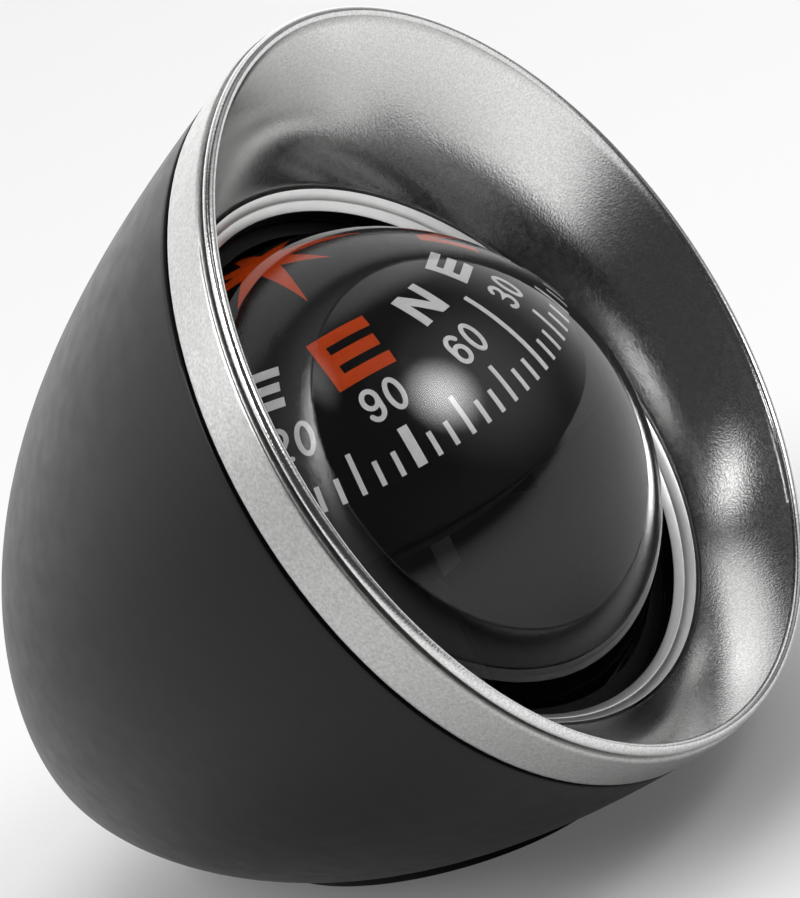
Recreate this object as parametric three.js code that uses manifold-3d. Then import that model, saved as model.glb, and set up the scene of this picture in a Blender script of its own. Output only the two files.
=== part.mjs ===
// Car dashboard compass: a clear ball with a floating card, held in an egg-shaped housing
// behind a silver funnel. Millimetres, +Z up. The origin is the middle of the adhesive
// pad's lower face, the mouth looks towards -Y, and X is the viewer's right.
import * as THREE from 'three';
import { mergeVertices } from 'three/addons/utils/BufferGeometryUtils.js';
import Module from 'manifold-3d';

const wasm = await Module();
wasm.setup();

// The ball, how far it sits ahead of the foot's middle, and how the mouth looks up
const ballRadius = 17.8;
const ballForward = 5.2;
const mouthTiltDegrees = 25;
const seamTiltDegrees = 16;

// Housing: an egg turned about the mouth axis, cut by the sloping seam and by the foot.
// It is widest at the shoulder, far ahead, and its sides would meet at the tail.
const shoulderLength = 57.4;
const tailRoom = 17.7;
const taperPower = 5;
const noseInset = 5.7;
const housingWall = 1.5;
const flangeRoom = 0.7;
const mouthWall = 0.6;
const rebateDepth = 0.9;
const seamAhead = 11.5;
const ledgeHeight = 1.5;

// Foot: a flat floor that stands on the adhesive pad
const padThickness = 1.0;
const padHalfWidth = 8.0;
const padHalfLength = 13.0;
const floorThickness = 1.1;

// Rim band, funnel with its rolled bead, and the two-step trim ring
const seamGap = 0.25;
const bandHeight = 3.35;
const bandDepth = 1.2;
const bandWebHeight = 0.5;
const spigotLength = 0.7;
const beadRadius = 0.35;
const beadInset = 0.2;
const funnelWall = 0.45;
const funnelFlareShare = 0.04;
const ringAhead = 6.9;
const ringRoom = 0.4;
const ringWidth = 1.05;
const ringRise = 0.95;
const ringGroove = 0.3;

// Ball socket: collar, felt ring, cup, swivel ring and wave spring
const ballClearance = 0.35;
const collarThickness = 1.2;
const collarSkirtWall = 0.6;
const feltHeight = 1.6;
const feltWidth = 0.6;
const cupFront = 0.8;
const cupWall = 1.15;
const cupFlange = 1.2;
const cupFlangeMargin = 0.65;
const cupTubeRadius = 11.2;
const cupBackLip = 3.8;
const collarScrewCount = 3;
const collarScrewRoom = 0.65;
const collarScrewShank = 0.6;
const collarScrewHead = 0.95;
const collarScrewHeadHeight = 0.6;
const collarScrewLength = 3.4;
const collarBossRadius = 1.05;
const swivelWidth = 2.8;
const swivelThickness = 0.5;
const springThickness = 0.3;
const springWave = 0.12;
const springWaves = 3;

// Ball capsule: clear dome, black bowl, seal, diaphragm with its cap, filling plug
const domeWall = 1.2;
const bowlWall = 1.3;
const bowlInset = 0.1;
const sealHeight = 0.7;
const sealWidth = 0.5;
const diaphragmRadius = 6.4;
const diaphragmThickness = 0.4;
const diaphragmWave = 0.25;
const diaphragmDepth = 2.1;
const diaphragmHole = 4.6;
const diaphragmBossRadius = 7.6;
const diaphragmBossHeight = 1.2;
const capThickness = 0.7;
const capVentRadius = 1.0;
const plugAngleDegrees = 36;
const plugShank = 1.1;
const plugHead = 2.0;
const plugHeadHeight = 0.7;
const plugLength = 2.4;
const plugRecess = 0.3;
const washerThickness = 0.3;

// Pivot and card: the card turns on a steel point at the ball's centre
const postRadius = 1.5;
const postFootRadius = 3.6;
const postFootHeight = 1.2;
const postTop = 3.0;
const pinRadius = 0.45;
const pinTipRadius = 0.1;
const pinTipLength = 1.3;
const pinDepth = 2.6;
const jewelRadius = 1.2;
const jewelMouth = 0.75;
const jewelSkirt = 0.55;
const pivotGap = 0.12;
const bushWall = 0.75;
const bushCap = 0.6;
const cardClearance = 0.5;
const cardRaise = 2.3;
const cardWall = 0.9;
const cardSkirt = 0.5;
const floatRoom = 3.7;
const floatBase = 1.0;
const carrierInset = 0.4;
const carrierHole = 3.4;
const carrierThickness = 0.9;
const magnetLength = 12.0;
const magnetWidth = 1.8;
const magnetHeight = 1.8;
const magnetInset = 0.3;

// Clearances and facet counts
const fixedGap = 0.15;
const curvedGap = 0.3;
const overrun = 4.0;
const skinSides = 56;
const innerSides = 32;
const smallSides = 12;
const skinSteps = 14;
const noseSteps = 4;
const sphereSteps = 7;
const sheetSteps = 5;
const sheetStartShare = 0.4;
const beadSteps = 6;
const jewelSteps = 4;
const swivelSteps = 4;
const capSteps = 4;
const cupSteps = 6;
const crownSteps = 5;
const waveStations = 6;
const padSegments = 20;
const lipPasses = 12;
const noseCrowding = 1.3;

const DEGREE = Math.PI / 180;
const mouthTurn = Math.PI / 2 - mouthTiltDegrees * DEGREE;
const seamTurn = (mouthTiltDegrees - seamTiltDegrees) * DEGREE;
const floorTop = padThickness + floorThickness;
const grooveAhead = seamAhead + seamGap + bandHeight;
const roundTurn = 2 * Math.PI;

// What follows from the ball: the socket round it and the collar in front
const socketRadius = ballRadius + ballClearance;
const ringRadius = ballRadius + ringRoom;
const collarTop = ringAhead - ringRise - fixedGap;
const collarBack = collarTop - collarThickness;
const collarScrewReach = socketRadius + collarScrewRoom + collarBossRadius;
const collarReach = collarScrewReach + collarBossRadius;
const cupFlangeReach = collarScrewReach + cupFlangeMargin;
const cupBackHole = cupTubeRadius - cupBackLip;

// The stack behind the ball, each place counted backwards from the ball's centre
const swivelInner = cupTubeRadius - fixedGap - swivelWidth;
const swivelBack = Math.sqrt((ballRadius + curvedGap) ** 2 - swivelInner ** 2) + swivelThickness;
const springMiddle = swivelBack + fixedGap + springWave + springThickness / 2;
const cupFloor = springMiddle + springThickness / 2 + springWave + fixedGap;
const cupBack = cupFloor + cupWall;

// The ball stands as low as the cup's round wall or its back edge lets it
const mouthTilt = mouthTiltDegrees * DEGREE;
const cupBackDrop = cupBack * Math.sin(mouthTilt) + (cupTubeRadius + cupWall) * Math.cos(mouthTilt);
const ballHeight = floorTop + curvedGap + Math.max(socketRadius + cupWall, cupBackDrop);

// The egg goes round that stack and the cup's flange
const tailLength = cupBack + tailRoom;
const taperLength = shoulderLength + tailLength;
const noseStart = tailLength - noseInset;
const flangeTaperShare = ((shoulderLength + cupFlange - cupFront) / taperLength) ** taperPower;
const widestRadius = (cupFlangeReach + flangeRoom + housingWall) / (1 - flangeTaperShare);
const cutSpan = 4 * widestRadius;

// Inside the ball
const bowlRadius = ballRadius - bowlInset;
const diaphragmSeat = bowlRadius - diaphragmDepth;
const cardRadius = ballRadius - domeWall - cardClearance - cardRaise;
const floatRadius = cardRadius - cardWall - floatRoom;
const carrierRadius = floatRadius - carrierInset;
const magnetReach = carrierHole + magnetInset + magnetWidth / 2;

// Materials: one for each finish
function finish(color, roughness, metalness, opacity = 1) {
  return new THREE.MeshStandardMaterial({
    color,
    roughness,
    metalness,
    opacity,
    transparent: opacity < 1,
  });
}

// A solid from a closed geometry, and back
function solid(geometry) {
  const bare = geometry.clone();
  bare.deleteAttribute('normal');
  bare.deleteAttribute('uv');
  const merged = mergeVertices(bare);
  const vertProperties = new Float32Array(merged.attributes.position.array);
  const triVerts = new Uint32Array(merged.index.array);
  return new wasm.Manifold(new wasm.Mesh({ numProp: 3, vertProperties, triVerts }));
}

function surface(body) {
  const mesh = body.getMesh();
  const geometry = new THREE.BufferGeometry();
  geometry.setAttribute('position', new THREE.BufferAttribute(mesh.vertProperties, 3));
  geometry.setIndex(new THREE.BufferAttribute(mesh.triVerts, 1));
  geometry.computeVertexNormals();
  return geometry;
}

function piece(name, geometry, material) {
  const mesh = new THREE.Mesh(geometry, material);
  mesh.name = name;
  return mesh;
}

// A section of [radius, height] pairs turned about Z. Heights run along +Z.
function turned(section, sides) {
  const points = section.map(([radius, height]) => new THREE.Vector2(radius, height));
  const geometry = new THREE.LatheGeometry(points, sides);
  return geometry.rotateX(Math.PI / 2);
}

// A closed ring section, given outer side first and upwards
function turnedRing(section, sides) {
  return turned([...section, section[0]], sides);
}

function rod(radius, bottom, top, sides = smallSides) {
  return turned([[0, bottom], [radius, bottom], [radius, top], [0, top]], sides);
}

function tube(inner, outer, bottom, top, sides) {
  return turnedRing([[outer, bottom], [outer, top], [inner, top], [inner, bottom]], sides);
}

// An arc about a centre on the axis, from one angle to another. Angles start at the
// equator and rise towards +Z.
function arc(radius, centre, from, to, steps) {
  return Array.from({ length: steps + 1 }, (_, i) => {
    const angle = from + (to - from) * i / steps;
    return [radius * Math.cos(angle), centre + radius * Math.sin(angle)];
  });
}

// The egg's outline about the mouth axis, with heights measured ahead of the ball's centre
function eggRadius(ahead) {
  return widestRadius * (1 - ((shoulderLength - ahead) / taperLength) ** taperPower);
}

function eggSlope(ahead) {
  const share = (shoulderLength - ahead) / taperLength;
  return widestRadius * taperPower * share ** (taperPower - 1) / taperLength;
}

// The outline from the nose forward, moved inwards by a wall
function eggOutline(wall, front, steps) {
  const noseSlope = eggSlope(-noseStart);
  const noseRadius = eggRadius(-noseStart);
  const capRadius = noseRadius * Math.hypot(1, noseSlope);
  const capCentre = noseRadius * noseSlope - noseStart;
  const capAngle = Math.atan2(-noseSlope, 1);
  const nose = arc(capRadius - wall, capCentre, -Math.PI / 2, capAngle, noseSteps).slice(0, -1);
  nose[0][0] = 0;
  const flank = Array.from({ length: steps + 1 }, (_, i) => {
    const ahead = -noseStart + (front + noseStart) * (i / steps) ** noseCrowding;
    const slope = eggSlope(ahead);
    const lean = Math.hypot(1, slope);
    return [eggRadius(ahead) - wall / lean, ahead + wall * slope / lean];
  });
  return [...nose, ...flank];
}

function egg(wall, sides = skinSides, steps = skinSteps) {
  const outline = eggOutline(wall, grooveAhead + 2 * overrun, steps);
  const front = outline[outline.length - 1][1];
  return turned([...outline, [0, front]], sides);
}

// The part of space between two planes parallel to the sloping seam
function slab(from, to) {
  const box = new THREE.BoxGeometry(cutSpan, cutSpan, to - from);
  box.translate(0, 0, (from + to) / 2);
  return box.rotateX(seamTurn);
}

// Where the egg's skin, moved inwards, meets a plane parallel to the seam
function lipPoint(angle, ahead, inset) {
  let radius = widestRadius;
  let height = ahead;
  for (let pass = 0; pass < lipPasses; pass += 1) {
    height = (ahead + radius * Math.cos(angle) * Math.sin(seamTurn)) / Math.cos(seamTurn);
    radius = eggRadius(height) - inset;
  }
  return [radius, height];
}

// A closed section that changes as it goes round the mouth axis
function swept(sectionAt, sides) {
  const positions = [];
  const triangles = [];
  const count = sectionAt(0).length;
  for (let side = 0; side < sides; side += 1) {
    const angle = roundTurn * side / sides;
    for (const [radius, height] of sectionAt(angle)) {
      positions.push(radius * Math.sin(angle), radius * Math.cos(angle), height);
    }
    const next = (side + 1) % sides;
    for (let j = 0; j < count; j += 1) {
      const k = (j + 1) % count;
      const near = [side * count + j, side * count + k];
      const far = [next * count + j, next * count + k];
      triangles.push(near[0], near[1], far[1], near[0], far[1], far[0]);
    }
  }
  const geometry = new THREE.BufferGeometry();
  geometry.setAttribute('position', new THREE.Float32BufferAttribute(positions, 3));
  geometry.setIndex(triangles);
  geometry.computeVertexNormals();
  return geometry;
}

function ellipsePrism(halfWidth, halfLength, bottom, top) {
  const shape = new THREE.Shape();
  shape.absellipse(0, 0, halfWidth, halfLength, 0, roundTurn);
  const depth = top - bottom;
  const settings = { depth, bevelEnabled: false, curveSegments: padSegments };
  const geometry = new THREE.ExtrudeGeometry(shape, settings);
  return geometry.translate(0, 0, bottom);
}

// A countersunk screw along +Z, its head at the bottom
function countersunkScrew(shank, head, headHeight, bottom, length) {
  const cone = head - shank;
  return turned([
    [0, bottom],
    [head, bottom],
    [head, bottom + headHeight - Math.min(cone, headHeight) / 2],
    [shank, bottom + headHeight],
    [shank, bottom + length],
    [0, bottom + length],
  ], smallSides);
}

// The hole for such a screw, wider all round and cut past its head
function countersunkHole(shank, head, headHeight, bottom, length) {
  const wide = countersunkScrew(
    shank + fixedGap, head + fixedGap, headHeight + fixedGap, bottom, length + fixedGap);
  const mouth = rod(head + fixedGap, bottom - overrun, bottom);
  return solid(wide).add(solid(mouth));
}

const black = finish(0x232324, 0.62, 0);
const glossBlack = finish(0x0a0a0b, 0.18, 0);
const satinSilver = finish(0xb9b9b7, 0.34, 0.9);
const brightSilver = finish(0xa9a9a8, 0.2, 0.95);
const brass = finish(0xb5924c, 0.35, 0.9);
const steel = finish(0x9a9da0, 0.25, 1);
const lacquer = finish(0x1a1a1c, 0.45, 0.1);
const foam = finish(0x1b1b1c, 0.95, 0);
const felt = finish(0x2a2a2b, 1, 0);
const rubber = finish(0x161616, 0.8, 0);
const nylon = finish(0xd9d6cc, 0.5, 0);
const acrylic = finish(0xf2f5f6, 0.03, 0, 0.25);
const ruby = finish(0xb01030, 0.1, 0, 0.8);
const floatFoam = finish(0x101011, 0.7, 0);

const compass = new THREE.Group();
compass.name = 'dashboard_compass';

// Everything about the ball's centre, and everything along the mouth axis
const ballFrame = new THREE.Group();
ballFrame.position.set(0, -ballForward, ballHeight);
const mouthFrame = new THREE.Group();
mouthFrame.rotation.x = mouthTurn;
ballFrame.add(mouthFrame);
compass.add(ballFrame);
compass.updateMatrixWorld(true);
const mouthPlace = mouthFrame.matrixWorld;

function placedSolid(geometry) {
  return solid(geometry.clone().applyMatrix4(mouthPlace));
}

// Housing shell: thin egg with a flat foot, a rebated mouth and a ledge for the socket cup
function housingShell() {
  let body = placedSolid(egg(0));
  body = body.intersect(placedSolid(slab(-cutSpan, seamAhead)));
  const footCut = new THREE.BoxGeometry(cutSpan, cutSpan, cutSpan);
  footCut.translate(0, 0, padThickness - cutSpan / 2);
  body = body.subtract(solid(footCut));
  const room = new THREE.BoxGeometry(cutSpan, cutSpan, cutSpan);
  room.translate(0, 0, floorTop + cutSpan / 2);
  const cavity = placedSolid(egg(housingWall, innerSides, skinSteps)).intersect(solid(room));
  const ledgeTop = cupFront - cupFlange - fixedGap;
  const ledge = tube(cupLedgeRadius(), widestRadius, ledgeTop - ledgeHeight, ledgeTop, innerSides);
  body = body.subtract(cavity.subtract(placedSolid(ledge)));
  const rebate = placedSolid(egg(mouthWall, innerSides, skinSteps));
  body = body.subtract(rebate.intersect(placedSolid(slab(seamAhead - rebateDepth, cutSpan))));
  return piece('housing_shell', surface(body), black);
}

function cupLedgeRadius() {
  return socketRadius + cupWall + curvedGap;
}

// Adhesive pad: foam tape under the foot
function adhesivePad() {
  const pad = ellipsePrism(padHalfWidth, padHalfLength, 0, padThickness);
  return piece('adhesive_pad', pad, foam);
}

// Rim band: silver continuation of the egg, with a spigot in the housing's rebate
function rimBand() {
  const start = seamAhead + seamGap;
  const webTop = start + bandWebHeight;
  const skin = solid(egg(0)).intersect(solid(slab(start, grooveAhead)));
  const upper = solid(egg(mouthWall, innerSides)).intersect(solid(slab(webTop, cutSpan)));
  const deep = solid(egg(bandDepth, innerSides));
  const spigotSkin = solid(egg(mouthWall + fixedGap, innerSides));
  const spigot = spigotSkin.intersect(solid(slab(seamAhead - spigotLength, webTop)));
  const body = skin.subtract(upper).add(spigot).subtract(deep);
  return piece('rim_band', surface(body), satinSilver);
}

// Funnel: thin pressed bowl behind the lip, its edge rolled into a bead over the band
function funnelSection(angle) {
  const beadAhead = grooveAhead + fixedGap + beadRadius;
  const [beadR, beadA] = lipPoint(angle, beadAhead, beadInset + beadRadius);
  const bead = arc(beadRadius, beadA, -Math.PI / 2, Math.PI, beadSteps)
    .map(([radius, height]) => [beadR + radius, height]);
  const top = bead[beadSteps];
  const foot = [ringRadius + ringWidth + fixedGap, ringAhead + ringRise];
  const seat = collarTop + fixedGap;
  const front = flared(top, foot, 0, 0);
  const back = flared(top, foot, funnelWall, sheetStartShare).reverse();
  const neckInset = mouthWall + fixedGap;
  const neck = [grooveAhead - funnelWall, grooveAhead + fixedGap]
    .map((ahead) => lipPoint(angle, ahead, neckInset));
  return [
    ...bead,
    ...front.slice(1),
    [foot[0], seat],
    [foot[0] + funnelWall, seat],
    ...back.slice(0, -1),
    ...neck,
  ];
}

// The sheet between the bead and the foot: a slightly flared line, like a horn's, moved
// back by a wall. The moved line starts lower, past the band.
function flared(from, to, wall, startShare) {
  const length = Math.hypot(to[0] - from[0], to[1] - from[1]);
  const across = [(from[1] - to[1]) / length, (to[0] - from[0]) / length];
  return Array.from({ length: sheetSteps + 1 }, (_, i) => {
    const t = startShare + (1 - startShare) * i / sheetSteps;
    const shift = wall - 4 * t * (1 - t) * funnelFlareShare * length;
    return [0, 1].map((k) => from[k] + (to[k] - from[k]) * t + across[k] * shift);
  });
}

function funnel() {
  return piece('funnel', swept(funnelSection, skinSides), brightSilver);
}

// Trim ring: two shallow steps with a groove between, round the ball's window
function trimRing() {
  const middle = ringRadius + ringWidth / 2;
  const outer = ringRadius + ringWidth;
  const seat = collarTop + fixedGap;
  const half = ringRise / 2;
  const section = [
    [outer, seat],
    [outer, ringAhead + ringRise],
    [middle + ringGroove / 2, ringAhead + half],
    [middle, ringAhead + half - ringGroove],
    [middle - ringGroove / 2, ringAhead + half],
    [ringRadius, ringAhead],
    [ringRadius, seat],
  ];
  return piece('trim_ring', turnedRing(section, skinSides), satinSilver);
}

// The ball's radius at a height, with clearance
function socketAt(height) {
  return Math.sqrt(socketRadius ** 2 - height ** 2);
}

// Collar screws: the first at the top, the rest spread evenly
function collarScrewAngles() {
  const numbers = Array.from({ length: collarScrewCount }, (_, i) => i);
  return numbers.map((i) => Math.PI / 2 + roundTurn * i / collarScrewCount);
}

// Retaining collar: gloss black, closes over the ball's front and clamps the felt ring
function retainingCollar() {
  const skirtBack = cupFront + feltHeight + 2 * fixedGap;
  const skirtOuter = socketRadius + collarSkirtWall - curvedGap;
  const section = [
    [skirtOuter, skirtBack],
    [skirtOuter, collarBack],
    [collarReach, collarBack],
    [collarReach, collarTop],
    [socketAt(collarTop), collarTop],
    [socketAt(collarBack), collarBack],
    [socketAt(skirtBack), skirtBack],
  ];
  let body = solid(turnedRing(section, innerSides));
  for (const angle of collarScrewAngles()) {
    const hole = countersunkHole(
      collarScrewShank, collarScrewHead, collarScrewHeadHeight, 0, collarScrewLength);
    const turnedOver = hole.rotate([180, 0, 0]).translate([
      collarScrewReach * Math.cos(angle), collarScrewReach * Math.sin(angle), collarTop]);
    body = body.subtract(turnedOver);
  }
  return piece('retaining_collar', surface(body), glossBlack);
}

function collarScrews() {
  return collarScrewAngles().map((angle, i) => {
    const screw = countersunkScrew(
      collarScrewShank, collarScrewHead, collarScrewHeadHeight, 0, collarScrewLength);
    const mesh = piece(`collar_screw_${i + 1}`, screw.rotateX(Math.PI), brass);
    mesh.position.set(collarScrewReach * Math.cos(angle), collarScrewReach * Math.sin(angle), collarTop);
    return mesh;
  });
}

// Felt ring: rubs on the ball so that it stays where it is turned
function feltRing() {
  const bottom = cupFront + fixedGap;
  const top = bottom + feltHeight;
  const touch = ballClearance - fixedGap;
  const section = [
    [socketRadius + feltWidth - curvedGap, bottom],
    [socketRadius + feltWidth - curvedGap, top],
    [socketAt(top) - touch, top],
    [socketAt(bottom) - touch, bottom],
  ];
  return piece('felt_ring', turnedRing(section, innerSides), felt);
}

// Socket cup: carries the ball from behind, stands on the housing's ledge
function socketCup() {
  const outerRadius = socketRadius + cupWall;
  const flangeBack = cupFront - cupFlange;
  const tubeOuter = cupTubeRadius + cupWall;
  const shoulder = Math.sqrt(outerRadius ** 2 - tubeOuter ** 2);
  const outerFrom = -Math.asin(shoulder / outerRadius);
  const outerTo = Math.asin(flangeBack / outerRadius);
  const innerFrom = Math.asin(cupFront / socketRadius);
  const innerTo = -Math.acos(cupTubeRadius / socketRadius);
  const section = [
    [tubeOuter, -cupBack],
    ...arc(outerRadius, 0, outerFrom, outerTo, cupSteps),
    [cupFlangeReach, flangeBack],
    [cupFlangeReach, cupFront],
    ...arc(socketRadius, 0, innerFrom, innerTo, cupSteps),
    [cupTubeRadius, -cupFloor],
    [cupBackHole, -cupFloor],
    [cupBackHole, -cupBack],
  ];
  let body = solid(turnedRing(section, innerSides));
  for (const angle of collarScrewAngles()) {
    const place = [collarScrewReach * Math.cos(angle), collarScrewReach * Math.sin(angle), 0];
    const boss = rod(collarBossRadius, flangeBack, collarBack - fixedGap);
    const hole = rod(collarScrewShank + fixedGap, collarTop - collarScrewLength - fixedGap, collarTop);
    body = body.add(solid(boss).translate(place)).subtract(solid(hole).translate(place));
  }
  return piece('socket_cup', surface(body), black);
}

// Swivel ring: a wedge of nylon that turns with the ball about the mouth axis
function swivelRing() {
  const outer = cupTubeRadius - fixedGap;
  const faceRadius = ballRadius + curvedGap;
  const face = arc(
    faceRadius, 0, -Math.acos(outer / faceRadius), -Math.acos(swivelInner / faceRadius), swivelSteps);
  const section = [[outer, -swivelBack], ...face, [swivelInner, -swivelBack]];
  return piece('swivel_ring', turnedRing(section, innerSides), nylon);
}

// Wave spring: presses the swivel ring against the ball
function waveSpring() {
  const outer = cupTubeRadius - curvedGap;
  const inner = swivelInner + fixedGap;
  const sectionAt = (angle) => {
    const height = springWave * Math.cos(springWaves * angle) - springMiddle;
    const low = height - springThickness / 2;
    const high = height + springThickness / 2;
    return [[outer, low], [outer, high], [inner, high], [inner, low]];
  };
  return piece('wave_spring', swept(sectionAt, innerSides), brass);
}

// Clear dome: the front half of the ball
function capsuleDome() {
  const rim = fixedGap;
  const innerRadius = ballRadius - domeWall;
  const outer = arc(ballRadius, 0, Math.asin(rim / ballRadius), Math.PI / 2, sphereSteps);
  const inner = arc(innerRadius, 0, Math.PI / 2, Math.asin(rim / innerRadius), sphereSteps);
  outer[sphereSteps][0] = 0;
  inner[0][0] = 0;
  const geometry = turned([...inner, ...outer], innerSides);
  return piece('capsule_dome', geometry, acrylic);
}

// The filling plug points backwards and down, square to the ball
const plugTurn = Math.PI - plugAngleDegrees * DEGREE;

function plugPlaced(body) {
  return body.rotate([plugTurn / DEGREE, 0, 0]);
}

// Black bowl: the rear half, with the seal's groove, the diaphragm's seat and two holes
function capsuleBowl() {
  const innerRadius = bowlRadius - bowlWall;
  const rim = -fixedGap;
  const outer = arc(bowlRadius, 0, -Math.PI / 2, Math.asin(rim / bowlRadius), sphereSteps);
  const inner = arc(innerRadius, 0, Math.asin(rim / innerRadius), -Math.PI / 2, sphereSteps);
  outer[0][0] = 0;
  inner[sphereSteps][0] = 0;
  const groove = tube(
    grooveMiddle() - sealWidth / 2 - fixedGap, grooveMiddle() + sealWidth / 2 + fixedGap,
    rim - sealHeight, rim + overrun, innerSides);
  const outside = -ballRadius - overrun;
  const seat = -diaphragmSeat;
  const seatBoss = rod(diaphragmBossRadius, seat, seat + diaphragmBossHeight, innerSides);
  const counterbore = rod(diaphragmRadius + fixedGap, outside, seat, innerSides);
  const throat = rod(diaphragmHole, outside, seat + overrun, innerSides);
  const plugFloor = innerRadius - washerThickness - plugHeadHeight;
  const plugBoss = rod(plugHead + curvedGap, plugFloor, innerRadius + bowlWall / 2);
  const body = solid(turned([...outer, ...inner], innerSides))
    .subtract(solid(groove))
    .add(solid(seatBoss))
    .add(plugPlaced(solid(plugBoss)))
    .subtract(solid(counterbore))
    .subtract(solid(throat))
    .subtract(plugPlaced(plugHole()));
  return piece('capsule_bowl', surface(body), glossBlack);
}

function grooveMiddle() {
  return bowlRadius - bowlWall / 2;
}

function capsuleSeal() {
  const middle = grooveMiddle();
  const seal = tube(
    middle - sealWidth / 2, middle + sealWidth / 2, -sealHeight, 0, innerSides);
  return piece('capsule_seal', seal, rubber);
}

// Diaphragm: a corrugated disc that gives way as the liquid swells
function diaphragm() {
  const bottom = -diaphragmSeat - fixedGap - diaphragmThickness;
  const wave = (radius) => (radius < diaphragmHole
    ? diaphragmWave * Math.sin(Math.PI * radius / diaphragmHole * 2) ** 2
    : 0);
  const stations = Array.from({ length: waveStations + 1 }, (_, i) => diaphragmHole * i / waveStations);
  const lower = stations.map((radius) => [radius, bottom + wave(radius)]);
  const upper = stations.map((radius) => [radius, bottom + diaphragmThickness + wave(radius)]).reverse();
  const rim = [[diaphragmRadius, bottom], [diaphragmRadius, bottom + diaphragmThickness]];
  return piece('diaphragm', turned([...lower, ...rim, ...upper], innerSides), rubber);
}

// Diaphragm cap: vented disc that follows the ball's curve
function diaphragmCap() {
  const top = -diaphragmSeat - 2 * fixedGap - diaphragmThickness;
  const rimAngle = -Math.acos(diaphragmRadius / bowlRadius);
  const ventAngle = -Math.acos(capVentRadius / bowlRadius);
  const ventTop = capThickness - bowlRadius;
  const section = [
    ...arc(bowlRadius, 0, ventAngle, rimAngle, capSteps),
    [diaphragmRadius, top],
    [diaphragmHole, top],
    [diaphragmHole, Math.min(ventTop, top)],
    [capVentRadius, ventTop],
  ];
  return piece('diaphragm_cap', turnedRing(section, innerSides), glossBlack);
}

// Filling plug and its washer, square to the ball's wall
function plugTop() {
  return bowlRadius - plugRecess;
}

function plugHole() {
  const floor = plugTop() - plugHeadHeight - washerThickness - fixedGap;
  const bore = rod(plugShank + fixedGap, plugTop() - plugLength - overrun, ballRadius + overrun);
  const head = rod(plugHead + fixedGap, floor, ballRadius + overrun);
  return solid(bore).add(solid(head));
}

function plugParts() {
  const top = plugTop();
  const plug = turned([
    [0, top - plugLength],
    [plugShank, top - plugLength],
    [plugShank, top - plugHeadHeight],
    [plugHead, top - plugHeadHeight],
    [plugHead, top],
    [0, top],
  ], smallSides);
  const washerTop = top - plugHeadHeight;
  const washer = tube(
    plugShank + fixedGap, plugHead, washerTop - washerThickness, washerTop, smallSides);
  const group = new THREE.Group();
  group.rotation.x = plugTurn;
  group.add(piece('filling_plug', plug, brass), piece('plug_washer', washer, rubber));
  return group;
}

// Pivot post: stands upright on the bowl's wall, carries the steel pin
function pivotPost() {
  const footSphere = bowlRadius - bowlWall - curvedGap;
  const footEdge = -Math.acos(postFootRadius / footSphere);
  const sole = arc(footSphere, 0, -Math.PI / 2, footEdge, 2);
  sole[0][0] = 0;
  const footBottom = sole[2][1];
  const section = [
    ...sole,
    [postFootRadius, footBottom + postFootHeight],
    [postRadius, footBottom + 2 * postFootHeight],
    [postRadius, -postTop],
    [pinRadius + fixedGap, -postTop],
    [pinRadius + fixedGap, -postTop - pinDepth],
    [0, -postTop - pinDepth],
  ];
  return piece('pivot_post', turned(section, smallSides), glossBlack);
}

// Pivot pin: ground to a fine flat at the ball's centre
function pivotPin() {
  const section = [
    [0, -postTop - pinDepth + fixedGap],
    [pinRadius, -postTop - pinDepth + fixedGap],
    [pinRadius, -pinTipLength],
    [pinTipRadius, 0],
    [0, 0],
  ];
  return piece('pivot_pin', turned(section, smallSides), steel);
}

// Jewel cup: a rounded ruby on the pin's point, its hollow wide so that the card can rock
function jewelCup() {
  const rim = -Math.asin(jewelSkirt / jewelRadius);
  const crown = arc(jewelRadius, 0, rim, Math.PI / 2, jewelSteps);
  crown[jewelSteps][0] = 0;
  const section = [[0, pivotGap], [jewelMouth, -jewelSkirt], ...crown];
  return piece('jewel_cup', turned(section, smallSides), ruby);
}

// Jewel bush: brass thimble round the jewel
function bushOuter() {
  return jewelRadius + fixedGap + bushWall;
}

function bushRoof() {
  return jewelRadius + fixedGap + bushCap;
}

function jewelBush() {
  const seat = arc(jewelRadius + fixedGap, 0, Math.PI / 2, 0, jewelSteps);
  seat[0][0] = 0;
  const section = [
    ...seat,
    [jewelRadius + fixedGap, -jewelSkirt],
    [bushOuter(), -jewelSkirt],
    [bushOuter(), bushRoof()],
    [0, bushRoof()],
  ];
  return piece('jewel_bush', turned(section, smallSides), brass);
}

// Compass card: a black half dome with its centre raised above the pivot
function compassCard() {
  const outer = arc(cardRadius, cardRaise, 0, Math.PI / 2, sphereSteps);
  const inner = arc(cardRadius - cardWall, cardRaise, Math.PI / 2, 0, sphereSteps);
  outer[sphereSteps][0] = 0;
  inner[0][0] = 0;
  const low = cardRaise - cardSkirt;
  const section = [...inner, [cardRadius - cardWall, low], [cardRadius, low], ...outer];
  return piece('compass_card', turned(section, innerSides), glossBlack);
}

// Float: closed-cell foam that fills the card's dome and carries most of its weight
function cardFloat() {
  const roof = cardRadius - cardWall - curvedGap;
  const rimAngle = Math.acos(floatRadius / roof);
  const crown = arc(roof, cardRaise, rimAngle, Math.PI / 2, crownSteps);
  crown[crownSteps][0] = 0;
  const bushTop = bushRoof() + fixedGap;
  const section = [
    [0, bushTop],
    [bushOuter() + fixedGap, bushTop],
    [bushOuter() + fixedGap, floatBase],
    [floatRadius, floatBase],
    ...crown,
  ];
  return piece('card_float', turned(section, innerSides), floatFoam);
}

// Magnet carrier: black lacquered disc under the float, the two magnets hung beneath
function magnetCarrier() {
  const top = floatBase - fixedGap;
  const disc = tube(carrierHole, carrierRadius, top - carrierThickness, top, innerSides);
  return piece('magnet_carrier', disc, lacquer);
}

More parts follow.
